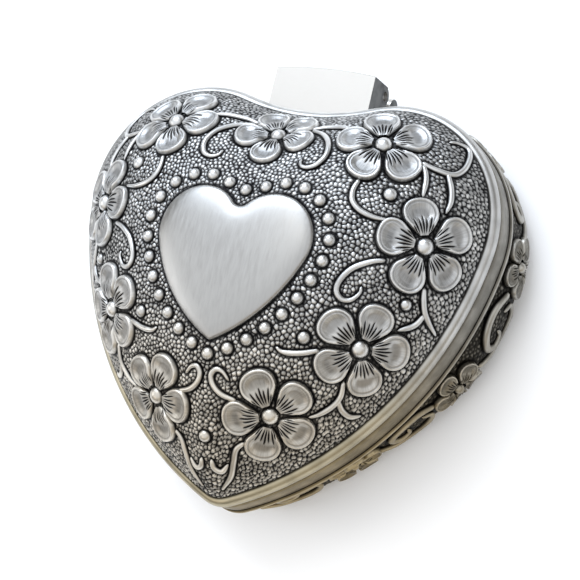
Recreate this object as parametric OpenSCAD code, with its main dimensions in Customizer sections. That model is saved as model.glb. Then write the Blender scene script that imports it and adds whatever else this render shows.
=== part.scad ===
// Heart-shaped trinket box: a cast base, a hinged domed lid, velvet linings and a three-piece hinge.
// Millimetres. X runs across the heart, the point faces -Y, the hinge is at +Y, Z is up, and
// Z = 0 is the underside of the felt that the box stands on.

/* [Heart outline] */
// Width of the heart where the dome meets its rim
heart_w = 82; // [76:1:96]

/* [Heights] */
// From the table to the top of the base wall
base_h = 18.9; // [17:0.1:24]
// Height of the rounded rim around the lid
rim_h = 3; // [2.4:0.1:4]
// How far the dome rises above the lid rim
dome_h = 17.6; // [13:0.1:22]
// Height of the smooth band around the top of the base
band_h = 4.9; // [4:0.1:6]

/* [Walls] */
// Thickness of the cast metal
wall = 1.8; // [1.5:0.1:2.2]
// How far the lid rim stands out from the foot of the dome
rim_out = 1.4; // [1:0.1:1.8]
// How far the base wall swells beyond the foot of the dome along the flanks
wall_swell = 2.6; // [1.8:0.1:3]
// How far the base wall leans in below its band at the heart's point
wall_lean = 1.65; // [1:0.05:2]
// Height the heart plaque stands above the dome
plaque_rise = 0.9; // [0.6:0.1:1.4]

/* [Linings] */
// Thickness of the velvet-covered card round the inside
card = 1.2; // [0.8:0.1:1.6]
// Thickness of the padded floor cushion
cushion_h = 4; // [2.5:0.1:6]
// How far the card stands above the base, to locate the lid
lip = 1.5; // [1:0.1:2]
// Thickness of the felt under the base
felt = 0.6; // [0.4:0.1:1]

/* [Hinge] */
// Width of the hinge cover across the heart
cover_w = 21; // [18:0.5:24]
// Diameter of the hinge pin
pin_d = 1.8; // [1.4:0.1:2]
// Distance of the pin behind the bottom of the cleft
pin_back = 8.45; // [8.3:0.05:9.5]
// Radial clearance of the pin in the lid's cheeks
pin_play = 0.05; // [0.03:0.01:0.08]

/* [Hidden] */

k = heart_w / 82;
// A heart is four tangent arcs a side: [lobe x, lobe y, lobe r, tip y, tip r, flank r, cleft r]
BOX_HEART = [19.7 * k, 16.8 * k, 21.3 * k, -33 * k, 5.1 * k, 66.5 * k, 46.4 * k];
PLAQUE_HEART = [7.4 * k, 7.9 * k, 8.1 * k, -10.9 * k, 1 * k, 31 * k, 2 * k];
crown_y = 3 * k;            // the dome's highest point
neck = 0.9;                 // offset of the base wall just under its band
foot_in = 3;                // how far the base wall turns in at its foot
tip_wall = 0.8;             // extra thickness of the base wall at the point, where it leans in
seam = 0.1;                 // gap between the closed lid and the base
lid_z = base_h + seam;      // underside of the lid rim
dome_z = lid_z + rim_h;     // foot of the dome
floor_z = felt + 1.6;       // top of the cast floor
clear = 0.4;                // clearance between the card and the lid
cheek = 1.2;                // thickness of each hinge cheek
plate_z = lid_z - 1;        // top of the hinge cover
plate_t = 1.3;              // thickness of the hinge cover's plate
plate_bow = 0.65;           // how far the plate's back edge bows out between its corners
bow_r = (pow(cover_w / 2, 2) + pow(plate_bow, 2)) / (2 * plate_bow);    // radius of that edge
pin_z = plate_z - 6;        // height of the pin
cleft_y = BOX_HEART[1] + sqrt(pow(BOX_HEART[2] + BOX_HEART[6], 2) - pow(BOX_HEART[0], 2)) - BOX_HEART[6];
pin_y = cleft_y + pin_back;
leaf_y = cleft_y + 4.75;    // flat face on the base that carries the hinge leaf
leaf_w = cover_w - 2 * cheek - 0.6;     // width of the base's hinge leaf, between the cheeks
pad_top = plate_z - plate_t - 0.7;      // top of the pad under the hinge cover
knuckle_r = 1.8;            // outer radius of the hinge round its pin

// Points on an arc, leaving out the last one
function arc(cx, cy, r, a0, a1, n) =
    [for (i = [0:n - 1]) let (a = a0 + (a1 - a0) * i / n) [cx + r * cos(a), cy + r * sin(a)]];

// Centre of the flank arc, which touches the lobe and the tip from outside
function flank_centre(h) =
    let (d = norm([h[0], h[1] - h[3]]), a = h[5] - h[2], b = h[5] - h[4],
         t = (a * a - b * b + d * d) / (2 * d), s = sqrt(a * a - t * t),
         u = [-h[0], h[3] - h[1]] / d)
    [h[0] + u[0] * t + u[1] * s, h[1] + u[1] * t - u[0] * s];

// Right half of a heart, moved outward by o, from the cleft round to the tip
function half_heart(h, o) =
    let (cy = h[1] + sqrt(pow(h[2] + h[6], 2) - h[0] * h[0]), f = flank_centre(h),
         a_cleft = atan2(h[1] - cy, h[0]), a_lobe = atan2(cy - h[1], -h[0]),
         a_flank = atan2(h[1] - f[1], h[0] - f[0]), a_tip = atan2(h[3] - f[1], -f[0]))
    concat(arc(0, cy, h[6] - o, -90, a_cleft, 5), arc(h[0], h[1], h[2] + o, a_lobe, a_flank, 14),
           arc(f[0], f[1], h[5] + o, a_flank, a_tip, 7), arc(0, h[3], h[4] + o, a_tip, -90, 5),
           [[0, h[3] - h[4] - o]]);

// Whole heart, clockwise from the cleft
function heart(h, o = 0) =
    let (r = half_heart(h, o), n = len(r)) concat(r, [for (i = [n - 2:-1:1]) [-r[i][0], r[i][1]]]);

// Heart ring at height z, shrunk by s about the crown
function ring(o, z, s = 1, h = BOX_HEART) =
    [for (p = heart(h, o)) [s * p[0], crown_y + s * (p[1] - crown_y), z]];

function ease(t) = let (c = min(max(t, 0), 1)) c * c * (3 - 2 * c);

// Share of the wall's swell at an outline point: full along the flanks and in the cleft, about a
// third round the lobes, none at the heart's point
function swell_share(p) =
    let (x = abs(p[0]) / k, y = p[1] / k)
    max(y < 2 ? ease((y + 28) / 26) : 1 - 0.62 * ease((y - 2) / 28), y > 20 ? 1 - ease((x - 11) / 8) : 0);

// Ring at height z whose outline moves outward by o, and by s more where the wall swells fully
function swelled_ring(o, s, z) =
    let (a = heart(BOX_HEART), b = heart(BOX_HEART, 1))
    [for (i = [0:len(a) - 1])
        let (p = a[i] + (o + s * swell_share(a[i])) * (b[i] - a[i])) [p[0], p[1], z]];

// Outline inside the base, moved outward by o, and inward at the point where the wall leans in
function cavity(o) =
    let (a = heart(BOX_HEART, o), b = heart(BOX_HEART, o - tip_wall))
    [for (i = [0:len(a) - 1]) a[i] + (1 - ease((a[i][1] / k + 36) / 14)) * (b[i] - a[i])];
function cavity_ring(o, z) = [for (p = cavity(o)) [p[0], p[1], z]];

// Height of the dome above its foot at the shrink s
function dome(s) = pow(1 - pow(s, 2.38), 0.813);

// Solid through a list of rings, capped at both ends. The outside runs downward through the list
module skin(rings) {
    n = len(rings[0]);
    m = len(rings);
    polyhedron([for (r = rings) each r],
        concat([[for (i = [0:n - 1]) i]],
               [for (j = [0:m - 2], i = [0:n - 1]) let (q = (i + 1) % n)
                   let (a = j * n, b = a + n) each [[a + i, b + i, b + q], [a + i, b + q, a + q]]],
               [[for (i = [n - 1:-1:0]) (m - 1) * n + i]]));
}

// Rings up the dome from its foot to the crown, for a surface set in by t
DOME_STEPS = [1, 0.97, 0.92, 0.85, 0.76, 0.65, 0.52, 0.38, 0.22, 0.08];
function dome_rings(t) = [for (s = DOME_STEPS) ring(-t, dome_z + (dome_h - t) * dome(s), s)];
function reversed(list) = [for (i = [len(list) - 1:-1:0]) list[i]];

// Half-round bead of the lid rim, from its underside up to the foot of the dome
function bead_rings() =
    [for (a = [-65:26:65]) ring(rim_out * cos(a) + 0.05, lid_z + rim_h * (0.5 + 0.53 * sin(a)))];

// Base wall below its band, from the felt up to the band's fine line
function wall_rings() =
    let (top = base_h - band_h - 1.3, mid = felt + (base_h - felt) * 0.36, lean = neck - wall_lean)
    concat([for (a = [90:-15:0]) let (c = cos(a))
                swelled_ring(lean * c - foot_in * (1 - c), (wall_swell - lean) * c,
                             mid - (mid - felt) * sin(a))],
           [for (t = [0.2:0.2:1]) let (c = cos(90 * t))
                swelled_ring(lean * c + neck * (1 - c), (wall_swell - lean) * c, mid + (top - mid) * t)]);

module box_slice(o, z0, z1) {
    translate([0, 0, z0]) linear_extrude(z1 - z0) polygon(heart(BOX_HEART, o));
}

module cavity_slice(o, z0, z1) {
    translate([0, 0, z0]) linear_extrude(z1 - z0) polygon(cavity(o));
}

module back_block(w, y0, y1, z0, z1) {
    translate([-w / 2, y0, z0]) cube([w, y1 - y0, z1 - z0]);
}

module along_x(w) {
    translate([-w / 2, 0, 0]) rotate([90, 0, 90]) linear_extrude(w) children();
}

// Rings of the lid's outer surface, from its underside up to the crown
function lid_rings() = concat([ring(0.3, lid_z)], bead_rings(), dome_rings(0));

module base_body() {
    band = base_h - band_h;
    color("silver") difference() {
        union() {
            skin(concat([cavity_ring(-wall, floor_z), cavity_ring(-wall, base_h), ring(0.3, base_h),
                         ring(0.9, base_h - 0.6), ring(1.2, base_h - 1.1), ring(1.2, band + 0.3),
                         ring(1.6, band), ring(1.6, band - 0.6), ring(neck, band - 1)],
                        reversed(wall_rings())));
            // flat pad that the hinge leaf is fixed to
            back_block(leaf_w, cleft_y - 0.5, leaf_y, pin_z - 7.4, pad_top);
        }
        // notch in the rim for the foot of the hinge cover
        difference() {
            back_block(cover_w + 0.8, cleft_y - 3, cleft_y + 3, pad_top, base_h + 1);
            box_slice(-0.6, pad_top - 1, base_h + 2);
        }
    }
}

module base_felt() {
    color("dimgray") box_slice(-3.3, 0, felt);
}

module floor_cushion() {
    color("darkslategray") cavity_slice(-wall - card - 0.2, floor_z, floor_z + cushion_h);
}

module wall_lining() {
    color("darkslategray") difference() {
        union() {
            cavity_slice(-wall, floor_z, base_h - 0.5);
            cavity_slice(-wall - clear, floor_z, base_h + lip);
        }
        cavity_slice(-wall - card, floor_z - 1, base_h + lip + 1);
    }
}

module base_hinge_leaf() {
    color("gainsboro") difference() {
        union() {
            back_block(leaf_w, leaf_y, leaf_y + 1.4, pin_z - 6.4, pin_z + 2.6);
            back_block(leaf_w, leaf_y + 1, pin_y, pin_z - 1.1, pin_z + 1.1);
            translate([0, pin_y, pin_z]) along_x(leaf_w) circle(knuckle_r, $fn = 64);
            // rounded toe that stops the open lid
            back_block(cover_w, leaf_y + 1, pin_y - 0.9, pin_z - 6, pin_z - 3.8);
            translate([0, pin_y - 0.9, pin_z - 4.9]) along_x(cover_w) circle(1.9, $fn = 64);
        }
        translate([0, pin_y, pin_z]) along_x(leaf_w + 2) circle(pin_d / 2, $fn = 64);
    }
}

module hinge_pin() {
    color("gray") translate([0, pin_y, pin_z]) along_x(cover_w - 1.2) circle(pin_d / 2, $fn = 64);
}

module lid_shell() {
    color("silver") skin(concat(reversed(lid_rings()), [ring(-wall, lid_z)], dome_rings(wall)));
}

module lid_plaque() {
    edge = dome_z + dome_h * 0.925;
    crown = dome_z + dome_h + plaque_rise;
    shoulder = edge + 0.7;
    color("whitesmoke") difference() {
        skin(concat([for (s = [0.15, 0.4, 0.65, 0.85])
                         ring(0, shoulder + (crown - shoulder) * (1 - s * s), s, PLAQUE_HEART)],
                    [ring(-0.4, shoulder, 1, PLAQUE_HEART), ring(0, shoulder - 0.3, 1, PLAQUE_HEART),
                     ring(0, edge - 1.6, 1, PLAQUE_HEART)]));
        skin(reversed(lid_rings()));
    }
}

module lid_lining() {
    outer = wall + 0.1;
    inner = outer + 1;
    edge = dome_z - 0.8;
    color("darkslategray") skin(concat(reversed(dome_rings(outer)),
                                       [ring(-outer, edge), ring(-inner, edge)], dome_rings(inner)));
}

module lid_hinge_cover() {
    back = pin_y + 2;
    front = cleft_y + 4;
    color("whitesmoke") difference() {
        union() {
            // top plate, and the foot that joins it to the underside of the lid rim
            difference() {
                union() {
                    intersection() {
                        back_block(cover_w, cleft_y - 3, back + 1, plate_z - plate_t, plate_z);
                        translate([0, back + plate_bow - bow_r, plate_z - plate_t - 1])
                            cylinder(r = bow_r, h = plate_t + 2, $fn = 360);
                    }
                    intersection() {
                        back_block(cover_w, cleft_y - 3, cleft_y + 3, plate_z - 0.5, lid_z);
                        box_slice(0.3, plate_z - 1, lid_z + 1);
                    }
                }
                box_slice(-0.2, plate_z - 3, lid_z + 1);
            }
            // cheeks that hang on the pin
            for (side = [-1, 1]) translate([side * (cover_w - cheek) / 2, 0, 0]) {
                along_x(cheek) polygon([[front, plate_z - 0.5], [back, plate_z - 0.5], [back, pin_z - 0.5],
                                        [pin_y - 0.9, pin_z - 1.4], [front, pin_z + 1.8]]);
                translate([0, pin_y, pin_z]) along_x(cheek) circle(knuckle_r, $fn = 64);
            }
        }
        translate([0, pin_y, pin_z]) along_x(cover_w + 2) circle(pin_d / 2 + pin_play, $fn = 64);
    }
}

base_body();
base_felt();
floor_cushion();
wall_lining();
base_hinge_leaf();
hinge_pin();
lid_shell();
lid_plaque();
lid_lining();
lid_hinge_cover();
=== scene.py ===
"""Looks of the heart-shaped trinket box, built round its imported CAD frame.

Lengths are in millimetres until make() and the camera turn them into metres. X runs across the heart,
the point faces -Y, the hinge is at +Y, and Z = 0 is the underside of the felt.
"""

import math
from itertools import product

import bpy
import numpy as np
from mathutils import Matrix, Vector, kdtree


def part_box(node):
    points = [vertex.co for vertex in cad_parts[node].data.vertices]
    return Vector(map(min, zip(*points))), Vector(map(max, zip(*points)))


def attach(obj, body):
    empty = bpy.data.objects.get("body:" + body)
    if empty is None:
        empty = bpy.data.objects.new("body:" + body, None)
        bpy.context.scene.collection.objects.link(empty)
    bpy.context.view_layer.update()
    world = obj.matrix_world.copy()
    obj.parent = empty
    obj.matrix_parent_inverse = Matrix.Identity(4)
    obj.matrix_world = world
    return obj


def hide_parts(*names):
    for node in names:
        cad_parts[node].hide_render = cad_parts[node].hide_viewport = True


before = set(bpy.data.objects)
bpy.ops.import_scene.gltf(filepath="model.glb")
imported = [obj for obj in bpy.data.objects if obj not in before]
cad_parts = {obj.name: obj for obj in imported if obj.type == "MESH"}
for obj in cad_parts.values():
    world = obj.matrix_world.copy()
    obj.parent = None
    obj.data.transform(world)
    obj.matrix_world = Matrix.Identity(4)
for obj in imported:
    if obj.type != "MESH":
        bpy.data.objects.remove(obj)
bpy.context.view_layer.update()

MM = 0.001
RNG = np.random.default_rng(11)

# Driving dimensions, the same as part.scad's. A heart is four tangent arcs a side:
# lobe x, lobe y, lobe radius, tip y, tip radius, flank radius, cleft radius
BOX_HEART = (19.7, 16.8, 21.3, -33.0, 5.1, 66.5, 46.4)
PLAQUE_HEART = (7.4, 7.9, 8.1, -10.9, 1.0, 31.0, 2.0)
BEAD_HEART = (8.4, 8.4, 9.9, -12.1, 2.2, 29.3, 6.9)
BASE_H = 18.9
LID_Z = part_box("lid_shell")[0][2] / MM
RIM_H = 3.0
RIM_OUT = 1.4
DOME_Z = LID_Z + RIM_H
DOME_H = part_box("lid_shell")[1][2] / MM - DOME_Z
CROWN_Y = 3.0
CROWN = np.array([0.0, CROWN_Y])  # plan place of the dome's top
WALL = 1.8  # thickness of the castings
SWELL = 2.6  # how far the base wall stands out along the flanks
LEAN = 1.65  # how far it leans in at the heart's point
NECK = 0.9  # how far it stands out under the band
FOOT_IN = 3.0  # how far it turns in at the felt
TIP_WALL = 0.8  # extra thickness inside the heart's point
FELT = 0.6  # thickness of the felt, on which the metal stands
BAND_FOOT = BASE_H - 4.9  # height of the raised line under the base's smooth band
CARD = 1.2  # thickness of the lining

# Vertices round the outline
DOME_COLS, RIM_COLS, BASE_COLS, LINING_COLS, CUSHION_COLS, PLAQUE_COLS = 840, 720, 900, 480, 360, 400


def smoothstep(a, b, x):
    t = np.clip((x - a) / (b - a), 0.0, 1.0)
    return t * t * (3 - 2 * t)


def bump(centre, width, x):
    return np.exp(-(((x - centre) / width) ** 2))


def unit(v):
    return v / np.maximum(np.linalg.norm(v, axis=-1, keepdims=True), 1e-12)


# ---------------------------------------------------------------- heart outlines


class Outline:
    """A heart's outline: points, outward directions and length round, clockwise from the cleft."""

    def __init__(self, shape, fine=1500):
        lx, ly, lr, ty, tr, fr, cr = shape
        cy = ly + math.sqrt((lr + cr) ** 2 - lx**2)
        d = math.hypot(lx, ly - ty)
        a, b = fr - lr, fr - tr
        t = (a * a - b * b + d * d) / (2 * d)
        s = math.sqrt(a * a - t * t)
        ux, uy = -lx / d, (ty - ly) / d
        fx, fy = lx + ux * t + uy * s, ly + uy * t - ux * s
        flank_start, flank_end = math.atan2(ly - fy, lx - fx), math.atan2(ty - fy, -fx)
        arcs = [
            (0, cy, cr, -math.pi / 2, math.atan2(ly - cy, lx), -1),
            (lx, ly, lr, math.atan2(cy - ly, -lx), flank_start, 1),
            (fx, fy, fr, flank_start, flank_end, 1),
            (0, ty, tr, flank_end, -math.pi / 2, 1),
        ]
        points, outward, along, start = [], [], [], 0.0
        for x, y, r, a0, a1, side in arcs:
            n = max(int(fine * r * abs(a1 - a0) / 120), 8)
            angle = np.linspace(a0, a1, n, endpoint=False)
            ray = np.stack([np.cos(angle), np.sin(angle)], 1)
            points.append(np.array([x, y]) + r * ray)
            outward.append(side * ray)
            along.append(start + r * np.abs(angle - a0))
            start += r * abs(a1 - a0)
        points.append(np.array([[0.0, ty - tr]]))
        outward.append(np.array([[0.0, -1.0]]))
        along.append(np.array([start]))
        self.half = start
        self.length = 2 * start
        p, n, u = np.concatenate(points), np.concatenate(outward), np.concatenate(along)
        flip = np.array([-1.0, 1.0])
        self.u = np.concatenate([u, self.length - u[-2::-1]])
        self.p = np.concatenate([p, p[-2::-1] * flip])
        self.n = np.concatenate([n, n[-2::-1] * flip])

    def at(self, u, offset=0.0):
        """Points and outward directions at distances u round the outline, moved out by offset."""
        u = np.mod(u, self.length)
        p = np.stack([np.interp(u, self.u, self.p[:, k]) for k in (0, 1)], -1)
        n = unit(np.stack([np.interp(u, self.u, self.n[:, k]) for k in (0, 1)], -1))
        return p + n * np.asarray(offset)[..., None], n

    def ring(self, count, offset=0.0):
        return self.at(np.arange(count) * self.length / count, offset)[0]


def shrunk(ring, share):
    """A ring drawn in towards the crown, to a share of its size."""
    return CROWN + share * (ring - CROWN)


def level_ring(ring, z):
    return np.column_stack([ring, np.full(len(ring), z)])


BOX = Outline(BOX_HEART)
PLAQUE = Outline(PLAQUE_HEART)
_angles = np.arctan2(BOX.p[:, 0], -(BOX.p[:, 1] - CROWN_Y))
_order = np.argsort(_angles)
REACH_ANGLE = _angles[_order]
REACH = np.hypot(BOX.p[:, 0], BOX.p[:, 1] - CROWN_Y)[_order]


def dome_share(s):
    """Height of the dome as a share of its rise, at the shrink s of the outline."""
    inside = (1 - np.clip(s, 0, 1) ** 2.38) ** 0.813
    return inside - 2.2 * np.maximum(s - 1, 0)


def dome_height(x, y):
    reach = np.interp(np.arctan2(x, -(y - CROWN_Y)), REACH_ANGLE, REACH, period=2 * np.pi)
    return DOME_Z + DOME_H * dome_share(np.hypot(x, y - CROWN_Y) / reach)


def dome_normal(x, y, step=0.05):
    gx = (dome_height(x + step, y) - dome_height(x - step, y)) / (2 * step)
    gy = (dome_height(x, y + step) - dome_height(x, y - step)) / (2 * step)
    return unit(np.stack([-gx, -gy, np.ones_like(gx)], -1))


def drop_on_dome(points, direction):
    """Slides points along direction until they lie on the dome."""
    points = points.copy()
    for _ in range(8):
        n = dome_normal(points[:, 0], points[:, 1])
        gap = (points[:, 2] - dome_height(points[:, 0], points[:, 1])) * n[:, 2]
        points -= direction * (gap / np.maximum(n @ direction, 0.25))[:, None]
    return points


# ---------------------------------------------------------------- base wall


def arc_list(a0, a1, n):
    return np.radians(np.linspace(a0, a1, n))


WALL_TOP, WALL_MID = BAND_FOOT - 1.3, FELT + (BASE_H - FELT) * 0.36


def swell_share(p):
    """Share of the wall's swell: full along the flanks and in the cleft, none at the heart's point."""
    x, y = np.abs(p[..., 0]), p[..., 1]
    side = np.where(y < 2, smoothstep(-28, -2, y), 1 - 0.62 * smoothstep(2, 30, y))
    return np.maximum(side, np.where(y > 20, 1 - smoothstep(11, 19, x), 0))


def wall_section():
    """(share of the swell, fixed offset, height) down the base wall, from under the band to the felt."""
    c, lean = np.cos(np.linspace(1, 0, 30) * math.pi / 2), NECK - LEAN
    upper = np.stack([c, lean * c + NECK * (1 - c), np.linspace(WALL_TOP, WALL_MID, 30)], 1)
    a = arc_list(0, 90, 40)[1:]
    c = np.cos(a)
    lower = np.stack([c, lean * c - FOOT_IN * (1 - c), WALL_MID - (WALL_MID - FELT) * np.sin(a)], 1)
    return np.concatenate([upper, lower])


def spaced(section, step, passes=0):
    """The same line with evenly spaced points, and its corners rounded by passes of averaging."""
    section = np.asarray(section, float)
    along = np.concatenate([[0], np.cumsum(np.linalg.norm(np.diff(section, axis=0), axis=1))])
    at = np.linspace(0, along[-1], int(round(along[-1] / step)) + 1)
    line = np.stack([np.interp(at, along, section[:, k]) for k in range(section.shape[1])], 1)
    for _ in range(passes):
        line[1:-1] = (line[:-2] + 2 * line[1:-1] + line[2:]) / 4
    return line


WALL_LINE = spaced(wall_section(), 0.1)
WALL_ALONG = np.concatenate([[0], np.cumsum(np.linalg.norm(np.diff(WALL_LINE[:, 1:], axis=0), axis=1))])


def wall_point(u, w):
    """Points on the base wall, u round the outline and w down from the top of the wall."""
    share, fixed, z = (np.interp(w, WALL_ALONG, WALL_LINE[:, k]) for k in range(3))
    p, n = BOX.at(u)
    p = p + n * (fixed + share * (SWELL - NECK + LEAN) * swell_share(p))[..., None]
    return np.concatenate([p, z[..., None]], -1)


def cavity_ring(count, offset, share=1.0):
    """A ring inside the base, set in further at the heart's point, where the wall leans in."""
    p, n = BOX.at(np.arange(count) * BOX.length / count, offset)
    return p - n * (share * TIP_WALL * (1 - smoothstep(-36, -22, p[:, 1])))[:, None]


def wall_normal(u, w, step=0.1):
    du = wall_point(u + step, w) - wall_point(u - step, w)
    dw = wall_point(u, w + step) - wall_point(u, w - step)
    return unit(np.cross(du, dw))


# ---------------------------------------------------------------- meshes


def make(name, verts, faces, body, material, wear_and_shade=None):
    """A smooth piece on a body; the value at each vertex, from 0 to 1, drives the antiqued metals: wear and
    patina, and on the rims also painted shade.
    """
    mesh = bpy.data.meshes.new(name)
    mesh.from_pydata((np.asarray(verts) * MM).tolist(), [], faces)
    mesh.shade_smooth()
    if wear_and_shade is not None:
        layer = mesh.attributes.new("wear_and_shade", "FLOAT", "POINT")
        layer.data.foreach_set("value", np.asarray(wear_and_shade, np.float32).ravel())
    mesh.materials.append(material)
    piece = bpy.data.objects.new(name, mesh)
    bpy.context.scene.collection.objects.link(piece)
    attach(piece, body)
    return piece


def grid_faces(rows, cols, wrap, start=0):
    """Quads over a grid of vertices, seen from outside: rows run down and columns run clockwise."""
    i = np.arange(cols if wrap else cols - 1)
    q = (i + 1) % cols
    top = start + np.arange(rows - 1)[:, None] * cols
    return np.stack([top + i, top + q, top + cols + q, top + cols + i], -1).reshape(-1, 4)


def loft(rows, cap_top=False, cap_bottom=False):
    """Vertices and faces of a tube through rings of equal counts."""
    rows = np.asarray(rows)
    m, n = rows.shape[:2]
    verts = rows.reshape(-1, 3)
    faces = grid_faces(m, n, True).tolist()
    i = np.arange(n)
    if cap_top:
        verts = np.concatenate([verts, rows[0].mean(0)[None]])
        faces += np.stack([np.full(n, len(verts) - 1), np.roll(i, -1), i], 1).tolist()
    if cap_bottom:
        verts = np.concatenate([verts, rows[-1].mean(0)[None]])
        last = (m - 1) * n
        faces += np.stack([np.full(n, len(verts) - 1), last + i, last + np.roll(i, -1)], 1).tolist()
    return verts, faces


def section_rows(section, count):
    """Rings of the box's outline for a section of (offset, height) points."""
    return np.stack([level_ring(BOX.ring(count, o), z) for o, z in section])


def row_normals(rows):
    along = np.roll(rows, -1, 1) - np.roll(rows, 1, 1)
    down = np.gradient(rows, axis=0)
    return unit(np.cross(along, down))


def join(parts):
    """One mesh from several (verts, faces, worn)."""
    verts, faces, wear_and_shade, start = [], [], [], 0
    for v, f, w in parts:
        verts.append(v)
        wear_and_shade.append(w)
        faces += [[i + start for i in face] for face in f]
        start += len(v)
    return np.concatenate(verts), faces, np.concatenate(wear_and_shade)


def mirrored(part):
    v, f, w = part
    return v * np.array([-1.0, 1.0, 1.0]), [list(face)[::-1] for face in f], w


# ---------------------------------------------------------------- relief


FULL_R = 9.1  # radius of a full-size flower, for which the depths below are given


def petal_plan(R, rows, cols, swing):
    """Grids of a petal's local x and y, and of the distance in from its edge."""
    neck, belly, tip = 0.225, 0.65, 1.0
    half = rows // 2
    r_in = np.linspace(neck, belly, half, endpoint=False)
    r_out = belly + (tip - belly) * np.sin(np.linspace(0, math.pi / 2, rows - half))
    r = np.concatenate([r_in, r_out])
    grow = np.sin(math.pi / 2 * np.clip((r - neck) / (belly - neck), 0, 1))
    close = np.clip(1 - np.abs((r - belly) / (tip - belly)) ** 2.3, 0, 1) ** 0.5
    width = np.where(r < belly, np.minimum(0.12 + 0.268 * grow, 0.7 * r), 0.388 * close)
    across = np.linspace(-1, 1, cols)
    v = 0.45 * across + 0.55 * np.sin(across * math.pi / 2)
    shift = swing * smoothstep(0.3, 1, r)
    x = np.repeat(r[:, None], cols, 1) * R
    y = (width[:, None] * v[None] + shift[:, None]) * R
    edge = np.concatenate([np.stack([r, shift + width], 1), np.stack([r, shift - width], 1)[::-1]]) * R
    here = np.stack([x, y], -1).reshape(-1, 2)
    a, b = edge[:-1], edge[1:]
    ab = b - a
    t = np.clip(((here[:, None] - a) * ab).sum(-1) / np.maximum((ab * ab).sum(-1), 1e-9), 0, 1)
    inset = np.linalg.norm(here[:, None] - a - t[..., None] * ab, axis=-1).min(1).reshape(x.shape)
    return x, y, inset


def petal(R, rows, cols, swing=0.0):
    """One petal along +X: local x, y and height, with its wear, on a grid. swing skews it a little."""
    x, y, inset = petal_plan(R, rows, cols, swing)
    k = R / FULL_R
    d = inset / k
    rho = np.hypot(x, y) / R
    phi = np.degrees(np.arctan2(y, x))
    outer = smoothstep(0.42, 0.68, rho)
    h = -0.35 + 1.3 * smoothstep(0.0, 0.5, d) ** 0.7
    h -= 0.5 * smoothstep(0.6, 2.3, d) * outer + 0.15 * smoothstep(0.6, 2.2, d)
    h -= 0.16 * bump(0.95, 0.13, d) * outer
    h *= 0.6 + 0.4 * smoothstep(0.2, 0.5, rho)
    wear_and_shade = 0.74 + 0.18 * bump(0.45, 0.4, d) - 0.24 * bump(0.95, 0.13, d) * outer
    wear_and_shade -= 0.10 * (1 - smoothstep(0.24, 0.36, rho))
    for j in range(-3, 4):
        reach = (0.64, 0.58, 0.62, 0.50)[abs(j)]
        slit = 0.05 + 0.09 * smoothstep(0.26, 0.42, rho) * (1 - 0.6 * smoothstep(reach - 0.16, reach, rho))
        fade = smoothstep(0.24, 0.34, rho) * (1 - smoothstep(reach - 0.08, reach, rho))
        fade = fade * smoothstep(0.2, 0.45, d)
        vein = j * 8.8 + 1.1 * math.sin(3.7 * j)
        near = bump(vein, np.degrees(slit * k / np.maximum(rho * R, 1)), phi) * fade
        h -= 0.26 * near
        wear_and_shade -= 0.95 * near
    ray = np.sin(phi * 2.1 + 2 * np.sin(phi * 0.37)) * np.sin(phi * 0.83 + 1)
    h += 0.012 * ray * outer * smoothstep(0.9, 1.3, d)
    wear_and_shade += 0.05 * ray * outer
    h = np.where(d < 1e-6, -0.35, h) * k
    wear_and_shade = np.clip(wear_and_shade, 0, 1) * smoothstep(-0.1, 0.5, h / k)
    return x, y, h, wear_and_shade


def dome_cap(R, height, rings=10, cols=36, flare=0.25):
    """A low round boss: local x, y, height and wear, sunk a little at its edge."""
    a = np.linspace(0.04, 1, rings) * math.pi / 2
    spin = -np.arange(cols) * 2 * math.pi / cols
    r = np.sin(a)[:, None] * R
    x, y = r * np.cos(spin), r * np.sin(spin)
    h = np.repeat(((height + flare) * np.cos(a) - flare)[:, None], cols, 1)
    return x, y, h, 0.2 + 0.68 * smoothstep(-0.05, 0.45, h / height)


def flower_parts(R, rows, cols, turn, lift=1.0):
    """(x, y, h, worn, wraps) grids of a five-petal flower, turned by degrees; lift scales its height."""
    parts = []
    for j in range(5):
        x, y, h, wear_and_shade = petal(R * (1 + RNG.uniform(-0.03, 0.02)), rows, cols, RNG.uniform(-0.03, 0.03))
        a = math.radians(turn + 72 * j + RNG.uniform(-2.5, 2.5))
        c, s = math.cos(a), math.sin(a)
        parts.append((x * c - y * s, x * s + y * c, h * lift, wear_and_shade, False))
    k = R / FULL_R
    parts.append(dome_cap(1.65 * k, 1.25 * k * lift) + (True,))
    return parts


def grid_to_mesh(points, wear_and_shade, wraps):
    """One part from a grid of points; a grid that wraps is a boss and is closed at its top."""
    m, n = points.shape[:2]
    verts = points.reshape(-1, 3)
    faces = grid_faces(m, n, wraps)
    if wraps:
        top = np.stack([np.full(n, len(verts)), np.roll(np.arange(n), -1), np.arange(n)], 1)
        verts = np.concatenate([verts, points[0].mean(0)[None]])
        wear_and_shade = np.concatenate([wear_and_shade.ravel(), [wear_and_shade.flat[0]]])
        return verts, faces.tolist() + top.tolist(), wear_and_shade
    return verts, faces[:, ::-1].tolist(), wear_and_shade.ravel()


def dome_place(cx, cy):
    """Maps local x, y, h to the dome about the plan point cx, cy."""
    here = np.array([cx, cy, dome_height(np.array([cx]), np.array([cy]))[0]])
    n = dome_normal(np.array([cx]), np.array([cy]))[0]
    t = unit(np.array([1.0, 0, 0]) - n[0] * n)
    b = np.cross(n, t)

    def place(x, y, h):
        flat = here + x.reshape(-1, 1) * t + y.reshape(-1, 1) * b
        on = drop_on_dome(flat, n)
        return (on + h.reshape(-1, 1) * dome_normal(on[:, 0], on[:, 1])).reshape(x.shape + (3,))

    return place


def wall_place(u0, w0):
    """Maps local x (anticlockwise round the wall), y (up) and h to the base wall."""

    def place(x, y, h):
        u, w = u0 - x, w0 - y
        return wall_point(u, w) + h[..., None] * wall_normal(u, w)

    return place


def placed(parts, place):
    return [grid_to_mesh(place(x, y, h), wear_and_shade, wraps) for x, y, h, wear_and_shade, wraps in parts]


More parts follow.
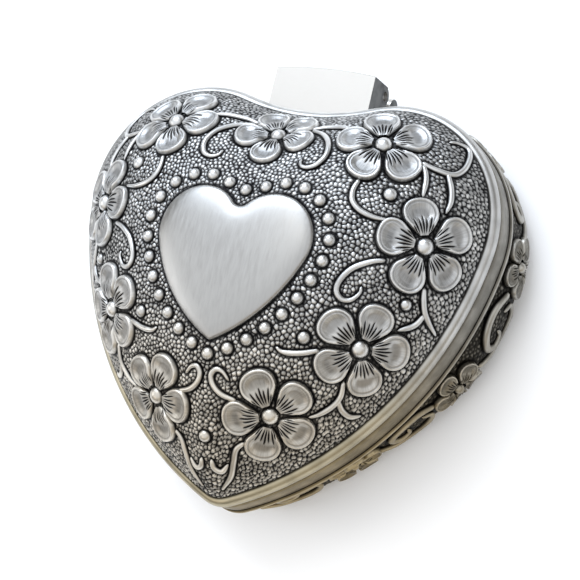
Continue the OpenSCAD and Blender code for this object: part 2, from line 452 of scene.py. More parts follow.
def smooth_curve(points, step=0.25):
    """Catmull-Rom curve through plan points, evenly spaced."""
    p = np.asarray(points, float)
    p = np.concatenate([[2 * p[0] - p[1]], p, [2 * p[-1] - p[-2]]])
    t = np.linspace(0, 1, 16, endpoint=False)[:, None]
    out = []
    for a, b, c, d in zip(p[:-3], p[1:-2], p[2:-1], p[3:]):
        square, cube = 2 * a - 5 * b + 4 * c - d, 3 * b - a - 3 * c + d
        out.append(0.5 * (2 * b + (c - a) * t + square * t**2 + cube * t**3))
    return spaced(np.concatenate(out + [p[-2:-1]]), step)


def vine(points, surface, width=0.56, taper=(0.8, 0.55), cols=14):
    """A half-round stem along plan points; surface turns plan points into places and normals."""
    line, normal = surface(smooth_curve(points))
    tangent = unit(np.gradient(line, axis=0))
    side = unit(np.cross(normal, tangent))
    share = np.linspace(0, 1, len(line))
    length = np.linalg.norm(np.diff(line, axis=0), axis=1).sum()
    start, end = taper
    swell = start + (1 - start) * smoothstep(0, 0.3, share)
    radius = width * (swell - (1 - end) * smoothstep(0.65, 1, share))
    ends = np.minimum(share, 1 - share) * length / width
    radius = radius * np.sqrt(np.clip(1 - (1 - np.clip(ends, 0.02, 1)) ** 2, 0.001, 1))
    a = np.radians(np.linspace(-28, 208, cols))
    r = radius[:, None, None]
    across, up = np.cos(a)[:, None] * side[:, None], (1.05 * np.sin(a)[:, None] - 0.02) * normal[:, None]
    stem = line[:, None] + r * (across + up)
    wear_and_shade = np.repeat((0.1 + 0.78 * smoothstep(0.1, 0.75, np.sin(a)))[None], len(line), 0)
    return stem.reshape(-1, 3), grid_faces(len(line), cols, False).tolist(), wear_and_shade.ravel()


def on_dome(p):
    q = np.column_stack([p, dome_height(p[:, 0], p[:, 1])])
    return q, dome_normal(p[:, 0], p[:, 1])


def on_wall(p):
    return wall_point(p[:, 0], p[:, 1]), wall_normal(p[:, 0], p[:, 1])


# ---------------------------------------------------------------- materials


def nodes_of(name):
    material = bpy.data.materials.new(name)
    material.use_nodes = True
    tree = material.node_tree
    shader = tree.nodes["Principled BSDF"]

    def add(kind, **settings):
        node = tree.nodes.new(kind)
        for key, value in settings.items():
            setattr(node, key, value)
        return node

    return material, shader, add, tree.links.new


def ramp(add, link, source, stops):
    node = add("ShaderNodeValToRGB")
    node.color_ramp.interpolation = "EASE"
    first, last = stops[0], stops[-1]
    node.color_ramp.elements[0].position, node.color_ramp.elements[0].color = first[0], first[1] + (1,)
    node.color_ramp.elements[1].position, node.color_ramp.elements[1].color = last[0], last[1] + (1,)
    for at, colour in stops[1:-1]:
        node.color_ramp.elements.new(at).color = colour + (1,)
    link(source, node.inputs["Fac"])
    return node.outputs["Color"]


def noise(add, link, scale, detail=4.0, stretch=None):
    texture = add("ShaderNodeTexNoise")
    texture.inputs["Scale"].default_value = scale
    texture.inputs["Detail"].default_value = detail
    coords = add("ShaderNodeTexCoord")
    out = coords.outputs["Object"]
    if stretch:
        mapping = add("ShaderNodeMapping")
        mapping.inputs["Scale"].default_value = stretch
        link(out, mapping.inputs["Vector"])
        out = mapping.outputs["Vector"]
    link(out, texture.inputs["Vector"])
    return texture.outputs["Fac"]


def spread(add, link, source, low, high):
    node = add("ShaderNodeMapRange")
    node.inputs["From Min"].default_value, node.inputs["From Max"].default_value = 0.3, 0.7
    node.inputs["To Min"].default_value, node.inputs["To Max"].default_value = low, high
    link(source, node.inputs["Value"])
    return node.outputs["Result"]


def bumped(add, link, shader, source, distance, strength=1.0):
    node = add("ShaderNodeBump")
    node.inputs["Distance"].default_value = distance
    node.inputs["Strength"].default_value = strength
    link(source, node.inputs["Height"])
    link(node.outputs["Normal"], shader.inputs["Normal"])


def antique_metal(name, dark, low, mid, high, warm):
    """Silver plate, dark in the recesses and rubbed bright where the value at each vertex is high; on the
    rims that value also holds painted shade.

    Towards the heart's point the colour warm tints it, a painted warm reflection.
    """
    material, shader, add, link = nodes_of(name)
    wear_and_shade = add("ShaderNodeAttribute", attribute_name="wear_and_shade").outputs["Fac"]
    cloud = noise(add, link, 260, 5)
    shift = add("ShaderNodeMath", operation="MULTIPLY_ADD")
    link(spread(add, link, cloud, -0.09, 0.09), shift.inputs[0])
    shift.inputs[1].default_value = 1.0
    link(wear_and_shade, shift.inputs[2])
    level = shift.outputs[0]
    split = add("ShaderNodeSeparateXYZ")
    link(add("ShaderNodeTexCoord").outputs["Object"], split.inputs["Vector"])
    # Painted warm reflection: the colour turns warm towards the heart's point, at -Y
    front = add("ShaderNodeMapRange", interpolation_type="SMOOTHSTEP")
    front.inputs["From Min"].default_value, front.inputs["From Max"].default_value = -0.034, 0.012
    link(split.outputs["Y"], front.inputs["Value"])
    tint = add("ShaderNodeMix", data_type="RGBA", blend_type="MULTIPLY")
    tint.inputs["Factor"].default_value = 1.0
    link(ramp(add, link, level, [(0.0, dark), (0.3, low), (0.62, mid), (1.0, high)]), tint.inputs["A"])
    link(ramp(add, link, front.outputs["Result"], [(0.0, warm), (1.0, (1.0, 1.0, 1.0))]), tint.inputs["B"])
    link(tint.outputs["Result"], shader.inputs["Base Color"])
    shader.inputs["Metallic"].default_value = 1.0
    rough = ramp(add, link, level, [(0.0, (0.62,) * 3), (0.5, (0.47,) * 3), (1.0, (0.35,) * 3)])
    link(rough, shader.inputs["Roughness"])
    bumped(add, link, shader, noise(add, link, 1500, 3), 0.00003, 0.22)
    return material


def satin_metal(name, light, dark, streak, roughness, swing=0.07, depth=0.000006, side_shade=None):
    """Brushed plate.

    streak stretches the brushing along each axis, swing is how far it varies the roughness, depth is how deep
    it is in metres, and flank is the painted shade on the faces that look along X, with lighter random
    stains.
    """
    material, shader, add, link = nodes_of(name)
    brush = noise(add, link, 2600, 3, streak)
    broad = noise(add, link, 60, 3)
    mix = add("ShaderNodeMath", operation="MULTIPLY_ADD")
    link(spread(add, link, broad, -0.12, 0.12), mix.inputs[0])
    mix.inputs[1].default_value = 1.0
    link(brush, mix.inputs[2])
    colour = ramp(add, link, mix.outputs[0], [(0.2, dark), (0.8, light)])
    # Painted shade: faces that look along X take a dark colour, with lighter random stains on it
    if side_shade:
        split, across = add("ShaderNodeSeparateXYZ"), add("ShaderNodeMath", operation="ABSOLUTE")
        link(add("ShaderNodeNewGeometry").outputs["Normal"], split.inputs["Vector"])
        link(split.outputs["X"], across.inputs[0])
        blend = add("ShaderNodeMix", data_type="RGBA")
        link(ramp(add, link, across.outputs[0], [(0.2, (0, 0, 0)), (0.6, (1, 1, 1))]), blend.inputs["Factor"])
        link(colour, blend.inputs["A"])
        side_shade_stains = [(0.38, side_shade), (0.66, tuple(3.5 * c for c in side_shade))]
        link(ramp(add, link, noise(add, link, 330, 2), side_shade_stains), blend.inputs["B"])
        colour = blend.outputs["Result"]
    link(colour, shader.inputs["Base Color"])
    shader.inputs["Metallic"].default_value = 1.0
    link(spread(add, link, brush, roughness - swing, roughness + swing), shader.inputs["Roughness"])
    if depth:
        bumped(add, link, shader, brush, depth, 0.5)
    return material


def velvet(name, colour, tips, scale=1400):
    material, shader, add, link = nodes_of(name)
    pile = noise(add, link, scale, 6)
    nap = noise(add, link, 90, 3)
    mix = add("ShaderNodeMath", operation="MULTIPLY_ADD")
    link(spread(add, link, nap, -0.2, 0.2), mix.inputs[0])
    mix.inputs[1].default_value = 1.0
    link(pile, mix.inputs[2])
    link(ramp(add, link, mix.outputs[0], [(0.25, colour), (0.8, tips)]), shader.inputs["Base Color"])
    shader.inputs["Roughness"].default_value = 0.95
    shader.inputs["Specular IOR Level"].default_value = 0.15
    shader.inputs["Sheen Weight"].default_value = 0.85
    shader.inputs["Sheen Roughness"].default_value = 0.35
    shader.inputs["Sheen Tint"].default_value = (0.75, 0.30, 0.33, 1)
    bumped(add, link, shader, pile, 0.00025, 0.9)
    return material


ANTIQUE = antique_metal("antique_silver", (0.006, 0.006, 0.007), (0.05, 0.05, 0.05), (0.30, 0.30, 0.297),
                        (0.62, 0.62, 0.612), (1.0, 0.93, 0.82))
# A darker copy of the lid's silver for the rim: painted shade on the rim's sides
SHADED_RIM_METAL = antique_metal("rim_silver_shaded", (0.006, 0.005, 0.005), (0.05, 0.048, 0.044), (0.25, 0.247, 0.238),
                          (0.47, 0.467, 0.455), (0.88, 0.78, 0.56))
# A darker, warmer copy of the silver for the base: partly tarnish, partly painted shade on the base's sides
TARNISHED_SHADED = antique_metal("tarnished_shaded_silver", (0.005, 0.0045, 0.004), (0.027, 0.025, 0.021),
                          (0.15, 0.141, 0.122), (0.38, 0.365, 0.33), (1.0, 0.84, 0.55))
PLAQUE_METAL = satin_metal("brushed_plaque", (0.375, 0.371, 0.360), (0.335, 0.331, 0.321),
                           (1.0, 0.12, 1.0), 0.38)
# The hinge's faces that look along X are painted dark: painted shade
HINGE_METAL = satin_metal("bright_hinge", (0.560, 0.542, 0.512), (0.550, 0.532, 0.502), (0.3, 1.0, 1.0), 0.34,
                          swing=0.01, depth=0, side_shade=(0.028, 0.028, 0.027))
# A darker copy of the hinge metal for the cover's rounded edges: painted shade
HINGE_EDGE_SHADE = satin_metal("hinge_edge_shade", (0.13, 0.127, 0.122), (0.11, 0.107, 0.102), (1.0, 1.0, 1.0), 0.34,
                         swing=0.01, depth=0)
PIN_STEEL = satin_metal("pin_steel", (0.50, 0.50, 0.51), (0.30, 0.30, 0.31), (0.1, 1.0, 1.0), 0.36)
VELVET = velvet("wine_velvet", (0.035, 0.003, 0.006), (0.20, 0.014, 0.026))
FELT_CLOTH = velvet("black_felt", (0.008, 0.008, 0.009), (0.045, 0.045, 0.048), 900)
felt_shader = FELT_CLOTH.node_tree.nodes["Principled BSDF"]
felt_shader.inputs["Sheen Tint"].default_value = (0.5, 0.5, 0.5, 1)
felt_shader.inputs["Sheen Weight"].default_value = 0.3

# ---------------------------------------------------------------- relief layout on the lid

# Flowers: plan x, y, turn of the first petal in degrees, radius. One is on the axis, the others are mirrored.
FLOWER_ON_AXIS = (0.0, 28.6, -90.0, 8.5)
FLOWERS = [(21.5, 29.0, 40.0, 9.1), (33.2, 11.8, 33.0, 9.1), (25.6, -8.1, -6.0, 9.1),
           (11.7, -22.6, 40.0, 9.1)]
# Right-hand stems and curls, as plan points from root to end
VINES = [
    [(5.6, 30.9), (8.5, 31.6), (12.5, 31.7), (16.0, 30.9)],
    [(6.0, 30.6), (9.2, 29.6), (11.6, 27.6), (12.5, 25.0), (11.6, 22.7), (9.9, 21.9), (8.5, 22.4),
     (8.1, 23.6)],
    [(20.2, 21.2), (19.8, 19.0), (20.3, 17.0), (22.0, 15.5), (24.5, 14.8), (27.2, 14.9)],
    [(28.8, 26.9), (31.5, 26.2), (34.1, 26.1), (35.2, 27.8), (35.0, 30.4), (34.0, 32.2), (32.3, 32.8),
     (31.0, 32.6)],
    [(29.2, 26.6), (30.5, 24.0), (31.0, 20.5)],
    [(33.2, 26.2), (34.6, 23.3), (35.2, 20.8), (35.0, 18.6)],
    [(27.8, 7.8), (25.5, 6.9), (22.8, 5.0), (21.2, 2.5), (21.0, 0.6), (22.0, -0.5), (23.4, -0.3), (24.6, 1.1),
     (24.8, 2.4)],
    [(33.9, 4.9), (34.1, 2.0), (34.6, 0.0), (35.9, -2.4)],
    [(34.3, 0.4), (33.0, -1.8), (30.8, -3.4)],
    [(19.4, -9.9), (16.2, -11.1), (13.5, -11.5), (12.2, -10.9)],
    [(23.3, -14.0), (22.8, -16.5), (21.5, -18.5), (19.5, -20.3), (17.8, -21.3)],
    [(22.3, -17.0), (22.8, -18.7), (23.9, -19.4), (25.5, -18.8)],
    [(5.9, -21.3), (3.2, -20.7), (1.6, -19.4), (1.1, -17.8), (1.9, -16.7), (3.2, -16.9), (4.4, -18.2)],
    [(7.1, -27.9), (5.6, -29.3), (4.9, -31.5), (4.0, -34.0), (1.9, -36.6)],
    [(1.0, -31.9), (1.3, -33.2), (2.6, -33.5), (3.9, -32.1)],
]
# Round dots: plan x, y, radius
DOTS = [(26.0, 19.6, 1.3), (31.7, 1.2, 1.1), (16.7, -8.4, 1.2)]
DOT_ON_AXIS = (0.0, -28.3, 1.2)
BEADS, BEAD_R = 28, 1.18  # round the plaque

relief = []  # every raised thing on the lid, to shade the ground round it


def keep(parts):
    """Notes parts as raised, and hands them back."""
    relief.append(np.concatenate([v for v, _, _ in parts]))
    return parts


def cast_on_lid(name, parts):
    verts, faces, wear_and_shade = join(parts)
    make(name, verts, faces, "lid", ANTIQUE, wear_and_shade)


def build_flower(name, cx, cy, turn, radius, flip=False):
    parts = placed(flower_parts(radius, 54, 71, turn), dome_place(cx, cy))
    if flip:
        parts = [mirrored(p) for p in parts]
    cast_on_lid(name, keep(parts))


build_flower("lid_flower_back", *FLOWER_ON_AXIS)
for index, spec in enumerate(FLOWERS, 1):
    build_flower(f"lid_flower_right_{index}", *spec)
    build_flower(f"lid_flower_left_{index}", *spec, flip=True)

right = [vine(points, on_dome) for points in VINES]
cast_on_lid("lid_vines", keep(right + [mirrored(p) for p in right]))

beads = []
for x, y in Outline(BEAD_HEART).ring(BEADS):
    beads += placed([dome_cap(BEAD_R, 1.0) + (True,)], dome_place(x, y))
cast_on_lid("lid_beads", keep(beads))

dots = []
for x, y, r in DOTS + [(-x, y, r) for x, y, r in DOTS] + [DOT_ON_AXIS]:
    dots += placed([dome_cap(r, 0.85) + (True,)], dome_place(x, y))
cast_on_lid("lid_dots", keep(dots))

# ---------------------------------------------------------------- pebbled ground


def far_apart(p, q, near):
    return (p[0] - q[0]) ** 2 + (p[1] - q[1]) ** 2 + (p[2] - q[2]) ** 2 >= near**2


def pebble_centres(points, area, pitch):
    """Evenly scattered centres over a surface given by a cloud of points and the area each stands for."""
    picks = RNG.choice(len(points), size=int(area.sum() / pitch**2 * 9), p=area / area.sum())
    cloud = points[picks] + RNG.normal(0, pitch * 0.12, (len(picks), 3))
    cells, kept, near = {}, [], pitch * 0.82
    keys = np.floor(cloud / near).astype(int)
    for p, (i, j, k) in zip(cloud, keys):
        around = product((i - 1, i, i + 1), (j - 1, j, j + 1), (k - 1, k, k + 1))
        if all(far_apart(p, q, near) for cell in around for q in cells.get(cell, ())):
            cells.setdefault((i, j, k), []).append(p)
            kept.append(p)
    return np.array(kept)


def tree_of(points):
    tree = kdtree.KDTree(len(points))
    for i, p in enumerate(points):
        tree.insert(p, i)
    tree.balance()
    return tree


def pebbles(points, centres):
    """0 in the gaps to 1 on the tops of the pebbles at each point, and how bright its pebble is."""
    tree = tree_of(centres)
    hits = [tree.find_n(p, 2) for p in points]
    pairs = np.array([[hit[2] for hit in pair] for pair in hits])
    ratio = (pairs[:, 1] - pairs[:, 0]) / (pairs[:, 1] + pairs[:, 0])
    shine = RNG.uniform(0.62, 1.0, len(centres))
    return np.clip(ratio * 1.9, 0, 1) ** 0.6, shine[[pair[0][1] for pair in hits]]


def nearness(points, others):
    tree = tree_of(others)
    return np.array([tree.find(p)[2] for p in points])


def vertex_areas(rows):
    du = np.linalg.norm(np.roll(rows, -1, 1) - rows, axis=-1)
    dw = np.linalg.norm(np.gradient(rows, axis=0), axis=-1)
    return (du * dw).ravel()


PITCH = 0.78  # of the pebbles
ROWS = 172
slope = spaced([(t, 40 * t, DOME_H * dome_share(t)) for t in np.linspace(0.24, 1, 400)], 0.02)
shrink = np.interp(np.linspace(0, 1, ROWS), np.linspace(0, 1, len(slope)), slope[:, 0])
outline = BOX.ring(DOME_COLS)
base_rows = np.stack([level_ring(shrunk(outline, s), DOME_Z + DOME_H * dome_share(s)) for s in shrink])
normals = row_normals(base_rows)
flat = base_rows.reshape(-1, 3)
grain, shine = pebbles(flat, pebble_centres(flat, vertex_areas(base_rows), PITCH))
gap = nearness(flat, np.concatenate(relief))
plaque_gap = nearness(flat * [1, 1, 0], level_ring(PLAQUE.ring(600), 0.0))
quiet = smoothstep(0.1, 0.6, gap) * smoothstep(0.15, 0.8, plaque_gap)
edge_fade = np.repeat(smoothstep(0, 0.008, 1 - shrink), DOME_COLS)
height = (0.32 * grain * (0.6 + 0.4 * shine) - 0.1) * quiet * (0.35 + 0.65 * edge_fade) - 0.06 * (1 - quiet)
wear_and_shade = smoothstep(0.15, 0.92, grain) * shine * (0.12 + 0.88 * quiet) * (0.25 + 0.75 * edge_fade)
rows = base_rows + height.reshape(ROWS, DOME_COLS, 1) * normals
wear_and_shade = wear_and_shade.reshape(ROWS, DOME_COLS)
split = ROWS // 2
verts, faces = loft(rows[: split + 1], cap_top=True)
upper = make("lid_dome_upper", verts, faces, "lid", ANTIQUE, np.append(wear_and_shade[: split + 1], 0.1))
verts, faces = loft(rows[split:])
make("lid_dome_lower", verts, faces, "lid", ANTIQUE, wear_and_shade[split:])
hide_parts("lid_shell")

# ---------------------------------------------------------------- lid rim

bead_section = [(-0.25, DOME_Z + 0.25)]
bead_section += [(RIM_OUT * math.cos(a) + 0.05, LID_Z + RIM_H * (0.5 + 0.53 * math.sin(a)))
                 for a in arc_list(86, -65, 40)]
bead_section += [(0.3, LID_Z), (-WALL, LID_Z), (-WALL, DOME_Z - 0.5)]
bead_line = spaced(bead_section, 0.12, 1)
verts, faces = loft(section_rows(bead_line, RIM_COLS))
# Painted shade: the bead darkens over its lowest 0.75 mm, on its lower side and into the seam on the base.
# The next line darkens the crease where it leaves the dome, with patina.
tone = 0.86 - 0.75 * smoothstep(LID_Z + 0.75, LID_Z + 0.1, bead_line[:, 1]) * (bead_line[:, 0] > -0.4)
tone *= 1 - 0.85 * smoothstep(0.45, 0.0, bead_line[:, 0]) * (bead_line[:, 1] > DOME_Z - 1)
make("lid_rim", verts, faces, "lid", SHADED_RIM_METAL, np.repeat(tone, RIM_COLS))

# ---------------------------------------------------------------- smooth band of the base

band = [(-WALL, BASE_H - 1.5), (-WALL, BASE_H), (0.3, BASE_H), (0.9, BASE_H - 0.6), (1.15, BASE_H - 1.1),
        (1.28, BASE_H - 2.8), (1.15, BAND_FOOT + 0.35), (1.6, BAND_FOOT), (1.6, BAND_FOOT - 0.6),
        (0.9, BAND_FOOT - 1.0)]
band_line = spaced(band, 0.12, 2)
NOTCH = 10.9  # half width of the gap in the base rim for the hinge cover's foot
NOTCH_FLOOR = LID_Z - 3.0
NOTCH_IN = -0.6  # offset from the outline at which the gap begins


def cut_notch(rows, offsets):
    """Sinks the rim at the cleft, outside NOTCH_IN, where the hinge cover's foot passes through it."""
    gap = (np.abs(rows[..., 0]) < NOTCH) & (rows[..., 1] > BOX_HEART[1]) & (offsets[:, None] > NOTCH_IN)
    rows[..., 2] = np.where(gap, np.minimum(rows[..., 2], NOTCH_FLOOR), rows[..., 2])
    return rows


band_rows = np.stack([level_ring(cavity_ring(BASE_COLS, o, smoothstep(-0.6, -1.7, o)), z)
                      for o, z in band_line])
verts, faces = loft(cut_notch(band_rows, band_line[:, 0]))
tone = np.full(len(band_line), 0.72)
tone += 0.25 * bump(BAND_FOOT - 0.25, 0.3, band_line[:, 1])
# Painted shadow at the band's top, in the seam under the lid's rim
tone -= 0.8 * bump(BASE_H, 0.35, band_line[:, 1]) * (band_line[:, 0] > 0.1)
tone -= 0.75 * bump(BAND_FOOT + 0.42, 0.16, band_line[:, 1]) * (band_line[:, 0] > 0)
# Dark under the raised line: partly patina in the groove before the wall, partly painted shade under the
# ledge
tone -= 0.9 * smoothstep(BAND_FOOT - 0.62, BAND_FOOT - 0.95, band_line[:, 1])
tone = np.repeat(np.clip(tone, 0, 1), BASE_COLS)
base_band = make("base_band", verts, faces, "base", TARNISHED_SHADED, tone)
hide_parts("base_body")

# ---------------------------------------------------------------- relief and ground of the base wall

# Flowers: distance round the outline, distance down the wall, turn in degrees
WALL_FLOWERS = [(31.0, 5.6, 12.0), (55.0, 5.6, -20.0), (79.0, 5.6, 30.0), (103.0, 5.6, 4.0)]
WALL_R = 5.9
FELT_RING = -4.5  # offset of the ring where the metal's underside meets the felt
wall_relief = []
for index, (u, w, turn) in enumerate(WALL_FLOWERS, 1):
    parts = placed(flower_parts(WALL_R, 36, 45, turn, 1.7), wall_place(u, w))
    for side, group in (("right", parts), ("left", [mirrored(p) for p in parts])):
        wall_relief.append(np.concatenate([v for v, _, _ in group]))
        verts, faces, wear_and_shade = join(group)
        make(f"base_flower_{side}_{index}", verts, faces, "base", TARNISHED_SHADED, wear_and_shade)

WALL_VINES = []
for start, end in ((14.5, 26.0), (36.0, 50.0), (60.0, 74.0), (84.0, 98.0), (108.0, BOX.half - 1.5)):
    mid = (start + end) / 2
    WALL_VINES += [
        [(start, 4.0), (mid - 3, 2.0), (mid + 1, 2.6), (mid + 3.4, 5.0), (mid + 2.4, 7.4), (mid + 0.2, 7.2),
         (mid - 0.2, 5.6)],
        [(end, 6.4), (mid + 4.0, 8.8), (mid, 9.6), (mid - 4.0, 8.4), (mid - 5.2, 6.2), (mid - 3.6, 4.9)],
    ]
right = [vine(points, on_wall, 0.85) for points in WALL_VINES]
stems = right + [mirrored(p) for p in right]
wall_relief.append(np.concatenate([v for v, _, _ in stems]))
verts, faces, wear_and_shade = join(stems)
make("base_vines", verts, faces, "base", TARNISHED_SHADED, wear_and_shade)

wall_down = np.linspace(0, WALL_ALONG[-1], 72)
around = np.arange(BASE_COLS) * BOX.length / BASE_COLS
wall_rows = np.stack([wall_point(around, np.full(BASE_COLS, w)) for w in wall_down])
wall_rows = np.concatenate([wall_rows[:1] + [0, 0, 0.3], wall_rows])
normals = row_normals(wall_rows)
flat = wall_rows.reshape(-1, 3)
grain, shine = pebbles(flat, pebble_centres(flat, vertex_areas(wall_rows), PITCH))
gap = nearness(flat, np.concatenate(wall_relief))
quiet = smoothstep(0.1, 0.7, gap)
foot = smoothstep(2.2, 2.8, flat[:, 2]) * smoothstep(WALL_TOP + 0.1, WALL_TOP - 0.6, flat[:, 2])
height = ((0.22 * grain - 0.08) * quiet - 0.06 * (1 - quiet)) * foot
foot_line = 0.85 - 0.8 * bump(2.4, 0.35, flat[:, 2])
wear_and_shade = np.where(flat[:, 2] < 2.5, foot_line, grain * shine * 0.6 * quiet * foot)
rows = wall_rows + height.reshape(len(wall_rows), BASE_COLS, 1) * normals
under_edge = level_ring(BOX.ring(BASE_COLS, FELT_RING), FELT)
verts, faces = loft(np.concatenate([rows, under_edge[None]]))
make("base_wall", verts, faces, "base", TARNISHED_SHADED, np.append(wear_and_shade, np.full(BASE_COLS, 0.1)))


# ---------------------------------------------------------------- hinge pad


def rounded_block(width, depth, height, corner, edge):
    """Rings of a block from y = 0 to depth, centred in X and Z, with round corners and a rounded far edge."""
    rings = []
    for a in arc_list(90, 0, 7):
        rings.append((edge * (1 - math.cos(a)) if a > 0 else 0.0, depth - edge * (1 - math.sin(a))))
    rings.append((0.0, 0.0))
    rows = []
    for inset, y in rings:
        r = max(corner - inset, 0.05)
        w, h = width / 2 - inset - r, height / 2 - inset - r
        spin = np.concatenate([np.linspace(q, q + math.pi / 2, 9) for q in np.arange(4) * math.pi / 2])
        middle = np.repeat([(-1, 1), (-1, -1), (1, -1), (1, 1)], 9, 0)
        x, z = -r * np.sin(spin) + middle[:, 0] * w, r * np.cos(spin) + middle[:, 1] * h
        rows.append(np.column_stack([x, np.full(36, y), z]))
    return np.stack(rows)


# The pad cast on the back of the base, behind the hinge leaf and between the cover's cheeks
leaf_low, leaf_high = (np.array(c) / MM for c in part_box("base_hinge_leaf"))
PAD_LOW, PAD_HIGH = 4.6, 16.0
CHEEK_ROOM = 3.0  # width that the leaf's toe has and the pad leaves to the two cheeks
pad_front = BOX.p[0, 1] - 0.5  # a little inside the cleft
pad_width = leaf_high[0] - leaf_low[0] - CHEEK_ROOM
pad = rounded_block(pad_width, leaf_low[1] - pad_front, PAD_HIGH - PAD_LOW, 1.2, 0.7)
pad += [0, pad_front, (PAD_LOW + PAD_HIGH) / 2]
verts, faces = loft(pad, cap_top=True, cap_bottom=True)
make("base_hinge_pad", verts, faces, "base", TARNISHED_SHADED, np.full(len(verts), 0.6))

# ---------------------------------------------------------------- plaque

ROLL = 0.45  # radius of the plaque's rounded edge
edge_z = DOME_Z + DOME_H * 0.925
shoulder_z = edge_z + 0.75
crown_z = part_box("lid_plaque")[1][2] / MM
plaque_edge = PLAQUE.ring(PLAQUE_COLS)
bulge = (crown_z - shoulder_z) / ((plaque_edge - CROWN) ** 2).sum(1).max()


def plaque_row(plan, drop):
    """A ring of the plaque's top, which falls away softly near its outline, lowered by drop."""
    away = np.maximum(((plan[:, None] - plaque_edge) ** 2).sum(-1), 1e-3)
    depth = math.pi / (PLAQUE.length / PLAQUE_COLS / away).sum(1)
    soft = 0.75 * np.exp(-depth / 1.5) - 0.1
    return np.column_stack([plan, crown_z - bulge * ((plan - CROWN) ** 2).sum(1) - soft - drop])


plaque_rows = []
for s in np.linspace(0.03, 1, 40, endpoint=False):
    plaque_rows.append(plaque_row(shrunk(PLAQUE.ring(PLAQUE_COLS, -ROLL), s), 0))
for a in arc_list(0, 90, 10):
    rim_plan = PLAQUE.ring(PLAQUE_COLS, ROLL * (min(math.sin(a), 0.93) - 1))
    rim_row = plaque_row(rim_plan, ROLL * 0.8 * (1 - math.cos(a)))
    plaque_rows.append(np.column_stack([PLAQUE.ring(PLAQUE_COLS, ROLL * (math.sin(a) - 1)), rim_row[:, 2]]))
plaque_rows.append(level_ring(plaque_edge, edge_z - 1.2))
verts, faces = loft(np.stack(plaque_rows), cap_top=True)
plaque = make("lid_heart_plaque", verts, faces, "lid", PLAQUE_METAL)
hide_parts("lid_plaque")

# ---------------------------------------------------------------- linings

LIP_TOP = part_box("wall_lining")[1][2] / MM
FLOOR_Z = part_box("floor_cushion")[0][2] / MM
CUSHION_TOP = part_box("floor_cushion")[1][2] / MM
card_out, card_in = -(WALL + 0.4), -(WALL + CARD)
card_mid, card_half = (card_out + card_in) / 2, (card_out - card_in) / 2
round_top = [(card_mid + card_half * math.cos(a), LIP_TOP - 0.4 + 0.4 * math.sin(a))
             for a in arc_list(0, 180, 13)]
lining_line = spaced([(-WALL, BASE_H - 2), (-WALL, BASE_H - 0.5), (card_out, BASE_H - 0.45)] + round_top
                     + [(card_in, FLOOR_Z + 1)], 0.3)
verts, faces = loft([level_ring(cavity_ring(LINING_COLS, o), z) for o, z in lining_line])
lining = make("velvet_wall", verts, faces, "base", VELVET)
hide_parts("wall_lining")

cushion_rows = []
gap_in = -(WALL + CARD + 0.25)
for s in np.linspace(0.02, 0.9, 60):
    plan = shrunk(cavity_ring(CUSHION_COLS, gap_in - 0.6), s)
    z = CUSHION_TOP + 0.9 - 1.6 * s**4 + 0.05 * np.sin(plan[:, 0] * 0.9 + plan[:, 1] * 0.5)
    cushion_rows.append(np.column_stack([plan, z]))
for a in arc_list(0, 100, 12)[1:]:
    o = gap_in - 2.6 + 2.6 * math.sin(a)
    z = CUSHION_TOP - 0.15 - 2.4 * (1 - math.cos(a))
    cushion_rows.append(level_ring(cavity_ring(CUSHION_COLS, o), z))
verts, faces = loft(np.stack(cushion_rows), cap_top=True)
cushion = make("velvet_cushion", verts, faces, "base", VELVET)
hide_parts("floor_cushion")

lining_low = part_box("lid_lining")[0][2] / MM
inner_t = WALL + 1.1
lid_rows = []
for inset, rise in ((WALL + 0.15, 0.15), (WALL + 0.35, 0), (inner_t - 0.2, 0.15)):
    lid_rows.append(level_ring(BOX.ring(LINING_COLS, -inset), lining_low + rise))
for s in np.linspace(1, 0.02, 70):
    z = DOME_Z + (DOME_H - inner_t) * dome_share(s)
    lid_rows.append(level_ring(shrunk(BOX.ring(LINING_COLS, -inner_t), s), z))
verts, faces = loft(np.stack(lid_rows), cap_bottom=True)
lid_lining = make("velvet_lid", verts, faces, "lid", VELVET)
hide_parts("lid_lining")

felt_line = spaced([(-3.3, FELT), (-3.15, FELT * 0.6), (-3.3, 0.02), (FELT_RING, 0.0)], 0.1, 2)
felt_rows = list(section_rows(felt_line, LINING_COLS))
for s in np.linspace(0.9, 0.05, 12):
    felt_rows.append(level_ring(shrunk(BOX.ring(LINING_COLS, FELT_RING), s), 0.0))
verts, faces = loft(np.stack(felt_rows), cap_bottom=True)
felt = make("felt_underside", verts, faces, "base", FELT_CLOTH)
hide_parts("base_felt")

# ---------------------------------------------------------------- hinge, kept from the CAD


def finish_node(node, material, edge, edge_shade_material=None):
    """Gives a CAD node its material and rounds its edges, which can have a darker material of their own,
    painted shade.
    """
    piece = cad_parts[node]
    piece.data.materials.clear()
    piece.data.materials.append(material)
    piece.modifiers.new("weld", "WELD").merge_threshold = 0.000005
    bevel = piece.modifiers.new("rounded_edges", "BEVEL")
    bevel.width = edge * MM
    bevel.segments = 3
    bevel.limit_method = "ANGLE"
    bevel.angle_limit = math.radians(40)
    bevel.harden_normals = True
    if edge_shade_material:
        piece.data.materials.append(edge_shade_material)
        bevel.material = 1


finish_node("lid_hinge_cover", HINGE_METAL, 0.4, HINGE_EDGE_SHADE)
finish_node("base_hinge_leaf", HINGE_METAL, 0.25)
finish_node("hinge_pin", PIN_STEEL, 0.15)

# ---------------------------------------------------------------- floor, light and camera


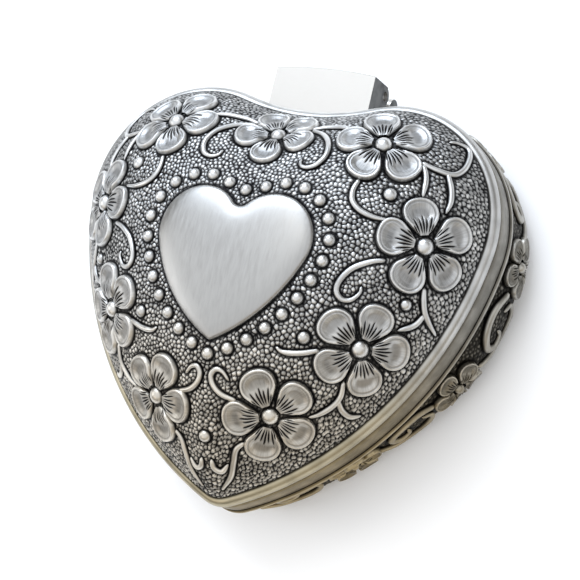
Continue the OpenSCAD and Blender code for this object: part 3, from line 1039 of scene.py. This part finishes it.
def floor():
    mesh = bpy.data.meshes.new("floor")
    mesh.from_pydata([(-3, -3, 0), (3, -3, 0), (3, 3, 0), (-3, 3, 0)], [], [(0, 1, 2, 3)])
    plane = bpy.data.objects.new("floor", mesh)
    bpy.context.scene.collection.objects.link(plane)
    material, shader, add, link = nodes_of("pale_floor")
    link(ramp(add, link, noise(add, link, 3, 2), [(0.3, (0.94, 0.94, 0.94)), (0.7, (0.96, 0.96, 0.96))]),
         shader.inputs["Base Color"])
    shader.inputs["Roughness"].default_value = 0.9
    mesh.materials.append(material)


def softbox(name, place, size, watts, colour=(1, 1, 1)):
    """A lamp aimed at the middle of the box."""
    light = bpy.data.lights.new(name, "AREA")
    light.shape = "RECTANGLE"
    light.size, light.size_y = size
    light.energy = watts
    light.color = colour
    lamp = bpy.data.objects.new(name, light)
    lamp.location = place
    lamp.rotation_euler = (Vector((0, 0, 0.02)) - Vector(place)).to_track_quat("-Z", "Y").to_euler()
    bpy.context.scene.collection.objects.link(lamp)


def studio():
    """A bright ceiling over a dim, slightly warm horizon."""
    world = bpy.data.worlds.new("studio")
    bpy.context.scene.world = world
    world.use_nodes = True
    tree = world.node_tree
    coords, split = tree.nodes.new("ShaderNodeTexCoord"), tree.nodes.new("ShaderNodeSeparateXYZ")
    tree.links.new(coords.outputs["Generated"], split.inputs["Vector"])
    heights = [(0.0, (0.13, 0.115, 0.09)), (0.35, (0.155, 0.150, 0.140)), (0.62, (0.46, 0.47, 0.485)),
               (0.85, (0.69, 0.71, 0.74))]
    sky = ramp(tree.nodes.new, tree.links.new, split.outputs["Z"], heights)
    background = tree.nodes["Background"]
    tree.links.new(sky, background.inputs["Color"])
    background.inputs["Strength"].default_value = 1.88


floor()
studio()
softbox("back_left", (-0.30, 0.70, 0.55), (0.8, 0.5), 7.6, (0.78, 0.87, 1.0))
softbox("overhead", (-0.05, 0.40, 0.90), (0.3, 0.3), 0.62, (1.0, 0.99, 0.97))
softbox("left", (-0.80, -0.10, 0.45), (0.5, 0.5), 1.75, (0.97, 0.98, 1.0))
softbox("front", (-0.35, -0.60, 0.50), (0.5, 0.4), 0.6, (1.0, 0.86, 0.70))
softbox("right", (0.85, 0.10, 0.45), (0.5, 0.6), 0.75)
softbox("warm_front", (0.45, -0.55, 0.30), (0.9, 0.6), 0.6, (1.0, 0.82, 0.56))

# The camera's place round the box, in millimetres and degrees
CAM_TARGET = Vector((4.26, 2.34, 20.26))
CAM_AZIMUTH, CAM_ELEVATION, CAM_ROLL = 70.75, 61.84, 59.74
CAM_DISTANCE, CAM_LENS = 374.9, 125.4

azimuth, elevation, roll = (math.radians(a) for a in (CAM_AZIMUTH, CAM_ELEVATION, CAM_ROLL))
ground = math.cos(elevation)
back = Vector((ground * math.sin(azimuth), -ground * math.cos(azimuth), math.sin(elevation)))
level = Vector((0, 0, 1)).cross(back).normalized()
upright = back.cross(level)
up = math.cos(roll) * upright + math.sin(roll) * level
side = up.cross(back)
camera = bpy.data.objects.new("camera", bpy.data.cameras.new("camera"))
camera.data.lens = CAM_LENS
camera.data.sensor_width = 36
camera.data.clip_start = 0.01
camera.matrix_world = Matrix((side, up, back)).transposed().to_4x4()
camera.location = (CAM_TARGET + CAM_DISTANCE * back) * MM
bpy.context.scene.collection.objects.link(camera)
bpy.context.scene.camera = camera
bpy.context.scene.view_settings.view_transform = "Standard"
